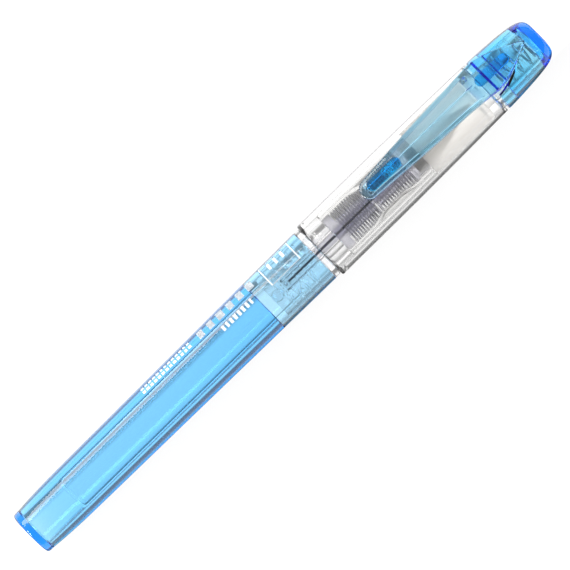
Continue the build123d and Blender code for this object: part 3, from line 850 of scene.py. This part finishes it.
def clip_hollow(x):
    """Depth of the hollow under the blade, nothing at the tip and in the root."""
    return follow([(93.2, 0.0), (94.2, 0.72), (120.5, 0.72), (122.3, 0.0)], x)


def clip_section(x):
    """Points round the clip at one station, as (across, height)."""
    half, top, floor, hollow = clip_half_width(x), clip_top(x), clip_floor(x), clip_hollow(x)
    wall = min(0.95, half * 0.42)
    crown = min(0.35, 0.2 * (top - floor))
    bevel = min(0.40, 0.3 * half)
    inner = half - wall
    right = [
        (half - 0.10, floor), (half, floor + 0.12), (half, top - crown - bevel),
        (half - 0.12 * bevel, top - crown - 0.5 * bevel),
        (half - 0.5 * bevel, top - crown - 0.12 * bevel), (half - bevel, top - crown),
    ]
    across_top = [(half - bevel) * (1 - step / 6) for step in range(1, 6)]
    span = max(half - bevel, 1e-4)
    right += [(y, top - crown * (y / span) ** 2) for y in across_top]
    left = [(-y, z) for y, z in reversed(right)]
    rib_half, rib_drop = 0.22, min(hollow, 0.30)
    under_left = [(-inner - 0.03, floor), (-inner, floor + hollow), (-rib_half - 0.08, floor + hollow),
                  (-rib_half, floor + hollow - rib_drop)]
    under_right = [(-y, z) for y, z in reversed(under_left)]
    return right + [(0.0, top)] + left + under_left + under_right


def loft(name, stations, section):
    """Join the same section at every station into one closed shape, capped at both ends."""
    shape = bmesh.new()
    rings = [[shape.verts.new((x, y, z)) for y, z in section(x)] for x in stations]
    for first, last in zip(rings, rings[1:]):
        count = len(first)
        for step in range(count):
            ahead = (step + 1) % count
            shape.faces.new((first[step], first[ahead], last[ahead], last[step]))
    for ring in (rings[0], rings[-1]):
        centre = sum((vertex.co for vertex in ring), Vector()) / len(ring)
        middle = shape.verts.new(centre)
        for step in range(len(ring)):
            shape.faces.new((ring[step], ring[(step + 1) % len(ring)], middle))
    bmesh.ops.remove_doubles(shape, verts=shape.verts, dist=0.0005)
    bmesh.ops.dissolve_degenerate(shape, dist=0.0005, edges=shape.edges)
    bmesh.ops.recalc_face_normals(shape, faces=shape.faces)
    mesh = bpy.data.meshes.new(name)
    shape.to_mesh(mesh)
    shape.free()
    return mesh


tip_stations = [CLIP_TIP + 0.02 + 1.7 * (1 - math.cos(math.pi / 2 * step / 12)) for step in range(13)]
blade_length = CLIP_END - 0.15 - tip_stations[-1]
blade_stations = [tip_stations[-1] + blade_length * step / 150 for step in range(1, 151)]
clip_mesh = loft("clip_blade", tip_stations + blade_stations, clip_section)
clip_mesh.materials.append(BLUE_CLIP)
smooth(clip_mesh, 40)
set_down(clip_mesh)
attach(new_object("clip_blade", clip_mesh), "clip", "blue_clip", "clip")

# %% [markdown]
# Where the clip is thickest its blue is deepest: in the pad that touches the cap, and in the rib that ties
# the blade to its root. Both are rounded bars, lofted like the blade, with a denser tint.

# %% Contact pad and root rib
def rounded_bar(name, first, last, half, low, high):
    """A bar along the pen with round ends, between two heights above the axis."""
    ends = [half * (1 - math.cos(math.pi / 2 * step / 10)) for step in range(1, 11)]
    stations = [first + end for end in ends] + [last - end for end in reversed(ends)]

    def section(x):
        near = min(x - first, last - x, half)
        width = math.sqrt(max(0.0, half ** 2 - (half - near) ** 2))
        edge = min(0.15, 0.4 * width)
        right = [(width - edge, low), (width, low + edge), (width, high - edge), (width - edge, high)]
        return right + [(-y, z) for y, z in reversed(right)]

    mesh = loft(name, stations, section)
    mesh.materials.append(BLUE_PAD)
    smooth(mesh, 50)
    set_down(mesh)
    return attach(new_object(name, mesh), "clip", "blue_clip")


rounded_bar("contact_pad", 93.7, 102.0, 1.1, 6.56, 7.66)
rounded_bar("root_rib", 122.6, 131.0, 1.1, 5.9, 6.8)

# %% [markdown]
# The hood is turned like the cap, then an arch is cut through its wall for the root of the clip. The cutter
# is the clip's own plan, drawn a little larger, so that the gap is even.

# %% Hood
def clip_plan_cutter(gap):
    """A prism with the clip's plan, for cutting the hood."""
    stations = [118 + (CLIP_END + gap - 118) * step / 60 for step in range(61)]
    right = [(x, clip_half_width(min(x, CLIP_END)) + gap) for x in stations]
    outline = right + [(x, -y) for x, y in reversed(right)]
    shape = bmesh.new()
    low = [shape.verts.new((x, y, 3.0)) for x, y in outline]
    high = [shape.verts.new((x, y, 12.0)) for x, y in outline]
    shape.faces.new(low)
    shape.faces.new(high[::-1])
    for step in range(len(low)):
        ahead = (step + 1) % len(low)
        shape.faces.new((low[step], high[step], high[ahead], low[ahead]))
    bmesh.ops.recalc_face_normals(shape, faces=shape.faces)
    mesh = bpy.data.meshes.new("clip_plan_cutter")
    shape.to_mesh(mesh)
    shape.free()
    return mesh


def cut(mesh, cutter_mesh):
    """One mesh less another."""
    carrier, cutter = new_object("carrier", mesh), new_object("cutter", cutter_mesh)
    difference = carrier.modifiers.new("cut", "BOOLEAN")
    difference.operation, difference.object, difference.solver = "DIFFERENCE", cutter, "EXACT"
    result = bpy.data.meshes.new_from_object(carrier.evaluated_get(bpy.context.evaluated_depsgraph_get()))
    bpy.data.objects.remove(carrier)
    bpy.data.objects.remove(cutter)
    return result


hood_side = flow([(124.9, 6.075), (126.5, 6.02), (128.5, 5.93), (132.0, 5.69), (134.4, 5.43), (135.8, 5.19),
                  (136.9, 4.85), (137.8, 4.30), (138.3, 3.60), (138.48, 2.6), (138.5, 1.6)])
hood_inside = rounded([
    (138.5, 0), (136.4, 0), (136.4, 3.9, 0.4), (134.8, 4.76, 0.3), (127.0, 4.76, 0.1), (127.0, 5.34, 0.1),
    (124.56, 5.34, 0.1), (124.56, 6.08, 0.15)])
hood_mesh = cut(lathe("hood_shell", supported(hood_side + hood_inside)), clip_plan_cutter(0.08))
hood_mesh.materials.append(BLUE_HOOD)
smooth(hood_mesh)
set_down(hood_mesh)
attach(new_object("hood_shell", hood_mesh), "cap", "blue_hood", "hood")

# %% [markdown]
# The white marks on the barrel are pad printed: thin, flat and a little raised. Plain bars of mixed widths
# stand for lettering. A tree lays the bars out on a flat strip, then wraps the strip round the barrel.

# %% Printed marks
VIEW_ROLL = math.radians(-15.0)


def bars_tree(material):
    """Bars along X, wrapped round a cone: mixed widths come from a fixed seed."""
    tree, given, out = start_tree("printed_bars", [
        ("First", "Float", 50.0), ("Pitch", "Float", 1.0), ("Count", "Int", 8), ("Bar Width", "Float", 0.6),
        ("Low Angle", "Float", 0.5), ("High Angle", "Float", 1.0), ("Width Spread", "Float", 0.3),
        ("Seed", "Int", 1), ("Base Radius", "Float", 5.8), ("Radius Slope", "Float", 0.0085),
    ])
    start = wire(tree, tree.nodes.new("ShaderNodeCombineXYZ"), X=given.outputs["First"])
    step = wire(tree, tree.nodes.new("ShaderNodeCombineXYZ"), X=given.outputs["Pitch"])
    line = wire(tree, tree.nodes.new("GeometryNodeMeshLine"), Count=given.outputs["Count"],
                Start_Location=start.outputs[0], Offset=step.outputs[0])
    bar = wire(tree, tree.nodes.new("GeometryNodeMeshGrid"), Size_X=1.0, Size_Y=1.0, Vertices_X=3,
               Vertices_Y=24)
    mixed = tree.nodes.new("FunctionNodeRandomValue")
    mixed.data_type = "FLOAT"
    wire(tree, mixed, Min=calc(tree, "SUBTRACT", 1.0, given.outputs["Width Spread"]), Max=1.0,
         Seed=given.outputs["Seed"])
    width = calc(tree, "MULTIPLY", given.outputs["Bar Width"], mixed.outputs["Value"])
    span = calc(tree, "SUBTRACT", given.outputs["High Angle"], given.outputs["Low Angle"])
    scale = wire(tree, tree.nodes.new("ShaderNodeCombineXYZ"), X=width, Y=span, Z=1.0)
    row = wire(tree, tree.nodes.new("GeometryNodeInstanceOnPoints"), Points=line.outputs[0],
               Instance=bar.outputs[0], Scale=scale.outputs[0])
    real = wire(tree, tree.nodes.new("GeometryNodeRealizeInstances"), Geometry=row.outputs[0])
    position = tree.nodes.new("GeometryNodeInputPosition")
    split = wire(tree, tree.nodes.new("ShaderNodeSeparateXYZ"), Vector=position.outputs[0])
    both = calc(tree, "ADD", given.outputs["High Angle"], given.outputs["Low Angle"])
    middle = calc(tree, "MULTIPLY", both, 0.5)
    angle = calc(tree, "ADD", split.outputs["Y"], middle)
    radius = calc(tree, "ADD", given.outputs["Base Radius"],
                  calc(tree, "MULTIPLY", calc(tree, "SUBTRACT", split.outputs["X"], given.outputs["First"]),
                       given.outputs["Radius Slope"]))
    wrapped = wire(tree, tree.nodes.new("ShaderNodeCombineXYZ"), X=split.outputs["X"],
                   Y=calc(tree, "MULTIPLY", calc(tree, "SINE", angle), radius),
                   Z=calc(tree, "MULTIPLY", calc(tree, "COSINE", angle), radius))
    bent = wire(tree, tree.nodes.new("GeometryNodeSetPosition"), Geometry=real.outputs[0],
                Position=wrapped.outputs[0])
    close_tree(tree, out, bent.outputs[0], material)
    return tree


BARS_TREE = bars_tree(WHITE_PRINT)


def barrel_radius(x):
    """Outer radius of the barrel at x, with a hair of ink thickness."""
    return follow([(24.0, 5.51), (42.0, 5.66), (60.0, 5.84), (77.1, 5.975)], x) + 0.012


def bars(name, first, last, count, share, low, high, spread=0.0, seed=1):
    """One row of bars between two stations and two angles, seen from the side that the nib faces."""
    pitch = (last - first) / count
    slope = (barrel_radius(last) - barrel_radius(first)) / (last - first)
    return grow(name, BARS_TREE, First=first + pitch / 2, Pitch=pitch, Count=count, Bar_Width=pitch * share,
                Low_Angle=math.radians(low) + VIEW_ROLL, High_Angle=math.radians(high) + VIEW_ROLL,
                Width_Spread=spread, Seed=seed, Base_Radius=barrel_radius(first), Radius_Slope=slope)


marks = [
    bars("small_row_high", 34.8, 48.2, 13, 0.72, 59, 66, 0.3, 3),
    bars("small_row_low", 34.8, 48.2, 13, 0.78, 46, 54, 0.3, 5),
    bars("large_row", 49.6, 65.4, 6, 0.62, 43, 68, 0.25, 8),
    bars("name_row", 54.4, 62.9, 8, 0.62, 18, 30, 0.3, 11),
    bars("box_low", 67.4, 75.1, 1, 1.0, 15.5, 17.5),
    bars("box_high", 67.4, 75.1, 1, 1.0, 72, 74),
    bars("box_left", 67.4, 67.65, 1, 1.0, 15.5, 74),
    bars("box_right", 74.85, 75.1, 1, 1.0, 15.5, 74),
    bars("box_bars", 68.6, 73.8, 3, 0.35, 44, 64),
]
print_mesh = joined("printed_marks", marks)
print_mesh.materials.append(WHITE_PRINT)
set_down(print_mesh)
attach(new_object("printed_marks", print_mesh), "barrel", "blue_barrel")

# %% [markdown]
# The pen lies on a bright table, like a product on a light box. The table glows, so that it stays white
# behind the clear walls, but less in a strip along each side of the pen: a painted shadow, which only shows
# through the plastic and never when the table is seen straight. The walls bend the view into those strips,
# which draws the dark edge lines. A lamp past the barrel's end lights the print without a streak along the
# round walls.

# %% Table, sky and lights
TABLE_SIZE = 2.0
TABLE_GLOW = 0.95
THROUGH_GLOW = 1.25
GLOW_FADE = (0.10, 0.22)
# Painted shadow strips beside the pen: middle and half width in metres, then the least brightness.
NEAR_PAINTED_SHADOW = (-7.0 * MM, 4.5 * MM, 0.07)
FAR_PAINTED_SHADOW = (7.6 * MM, 4.2 * MM, 0.12)
SKY_FAR, SKY_NEAR = 0.7, 0.35


def painted_shadow_strip(tree, across, middle, half, least):
    """Painted shadow: brightness that dips to the least value in a strip along the pen."""
    off = calc(tree, "ABSOLUTE", calc(tree, "SUBTRACT", across, middle))
    shade = tree.nodes.new("ShaderNodeMapRange")
    shade.interpolation_type = "SMOOTHSTEP"
    wire(tree, shade, Value=off, From_Min=0.3 * half, From_Max=half, To_Min=least, To_Max=1.0)
    return shade.outputs[0]


def light_table():
    """The pale floor: white when seen straight, with a painted soft shadow of the pen when seen through
    plastic.
    """
    mesh = bpy.data.meshes.new("table")
    corners = [(-1, -1), (1, -1), (1, 1), (-1, 1)]
    mesh.from_pydata([(TABLE_SIZE * x, TABLE_SIZE * y, 0) for x, y in corners], [], [(0, 1, 2, 3)])
    material = bpy.data.materials.new("table_white")
    material.use_nodes = True
    tree = material.node_tree
    shader = tree.nodes["Principled BSDF"]
    shader.inputs["Base Color"].default_value = (0.06, 0.06, 0.06, 1)
    shader.inputs["Roughness"].default_value = 0.9
    shader.inputs["Emission Color"].default_value = (1, 1, 1, 1)
    place = tree.nodes.new("ShaderNodeTexCoord")
    distance = wire(tree, tree.nodes.new("ShaderNodeVectorMath"))
    distance.operation = "LENGTH"
    tree.links.new(place.outputs["Object"], distance.inputs[0])
    glow = tree.nodes.new("ShaderNodeMapRange")
    glow.interpolation_type = "SMOOTHSTEP"
    wire(tree, glow, Value=distance.outputs["Value"], From_Min=GLOW_FADE[0], From_Max=GLOW_FADE[1],
         To_Min=THROUGH_GLOW, To_Max=0.05)
    split = wire(tree, tree.nodes.new("ShaderNodeSeparateXYZ"), Vector=place.outputs["Object"])
    # Painted shadow: the glow dims in a strip along each side of the pen, and only where it is seen through
    # plastic.
    near = painted_shadow_strip(tree, split.outputs["Y"], *NEAR_PAINTED_SHADOW)
    far = painted_shadow_strip(tree, split.outputs["Y"], *FAR_PAINTED_SHADOW)
    through = calc(tree, "MULTIPLY", glow.outputs[0], calc(tree, "MULTIPLY", near, far))
    direct = tree.nodes.new("ShaderNodeLightPath").outputs["Is Camera Ray"]
    seen = calc(tree, "MAXIMUM", through, calc(tree, "MULTIPLY", direct, TABLE_GLOW))
    tree.links.new(seen, shader.inputs["Emission Strength"])
    mesh.materials.append(material)
    table = new_object("table", mesh)
    return table


def soft_sky(bright, dim):
    """A sky that is bright on the pen's far side and dim on the near side."""
    world = bpy.data.worlds.new("soft_sky")
    world.use_nodes = True
    tree = world.node_tree
    place = tree.nodes.new("ShaderNodeTexCoord")
    split = tree.nodes.new("ShaderNodeSeparateXYZ")
    tree.links.new(place.outputs["Generated"], split.inputs[0])
    ramp = tree.nodes.new("ShaderNodeMapRange")
    ramp.interpolation_type = "SMOOTHSTEP"
    wire(tree, ramp, Value=split.outputs["Y"], From_Min=-0.1, From_Max=0.8, To_Min=dim, To_Max=bright)
    direct = tree.nodes.new("ShaderNodeLightPath").outputs["Is Camera Ray"]
    seen = calc(tree, "MAXIMUM", ramp.outputs[0], calc(tree, "MULTIPLY", direct, TABLE_GLOW))
    tree.links.new(seen, tree.nodes["Background"].inputs["Color"])
    bpy.context.scene.world = world


def soft_box(name, place, target, size, power):
    """A rectangular area light that looks at a point."""
    data = bpy.data.lights.new(name, "AREA")
    data.shape, data.size, data.size_y, data.energy = "RECTANGLE", *size, power
    lamp = bpy.data.objects.new(name, data)
    lamp.location = place
    lamp.rotation_mode = "QUATERNION"
    lamp.rotation_quaternion = (Vector(place) - Vector(target)).to_track_quat("Z", "Y")
    bpy.context.scene.collection.objects.link(lamp)
    return lamp


light_table()
soft_sky(SKY_FAR, SKY_NEAR)
soft_box("key", (-0.15, 0.35, 0.35), (0, 0, 0), (0.30, 0.20), 1.2)
soft_box("end", (-0.8, 0, 0.55), (0, 0, 0), (0.40, 0.40), 9.0)
print("stage ready")

# %% [markdown]
# The camera looks down on the pen with a long lens, so that both ends look the same size. It is rolled so
# that the pen lies across the picture from low left to high right, with the cap's end at the top.

# %% Camera
PICTURE_WIDTH = 110.83 * MM
LENS, SENSOR = 300.0, 36.0
TILT = math.radians(15.0)
LEAN = math.radians(44.45)


def aim_camera():
    """Camera square to the pen's axis, on the nib's side of the clip."""
    data = bpy.data.cameras.new("camera")
    data.lens, data.sensor_width = LENS, SENSOR
    data.clip_start, data.clip_end = 0.01, 10
    camera = bpy.data.objects.new("camera", data)
    along = Vector((1, 0, 0))
    back = Vector((0, -math.sin(TILT), math.cos(TILT)))
    across = back.cross(along)
    right = along * math.cos(LEAN) - across * math.sin(LEAN)
    up = along * math.sin(LEAN) + across * math.cos(LEAN)
    centre = Vector(((cad_low.x + cad_high.x) / 2, 0, AXIS_Z * MM))
    place = centre + back * PICTURE_WIDTH * LENS / SENSOR
    camera.matrix_world = Matrix.Translation(place) @ Matrix((right, up, back)).transposed().to_4x4()
    bpy.context.scene.collection.objects.link(camera)
    bpy.context.scene.camera = camera
    return camera


camera = aim_camera()
scene = bpy.context.scene
scene.view_settings.view_transform = "Standard"
scene.cycles.max_bounces = 32
scene.cycles.transmission_bounces = 32
scene.cycles.transparent_max_bounces = 32
scene.cycles.glossy_bounces = 12
scene.cycles.diffuse_bounces = 4
print("camera", [round(v, 4) for v in camera.location])
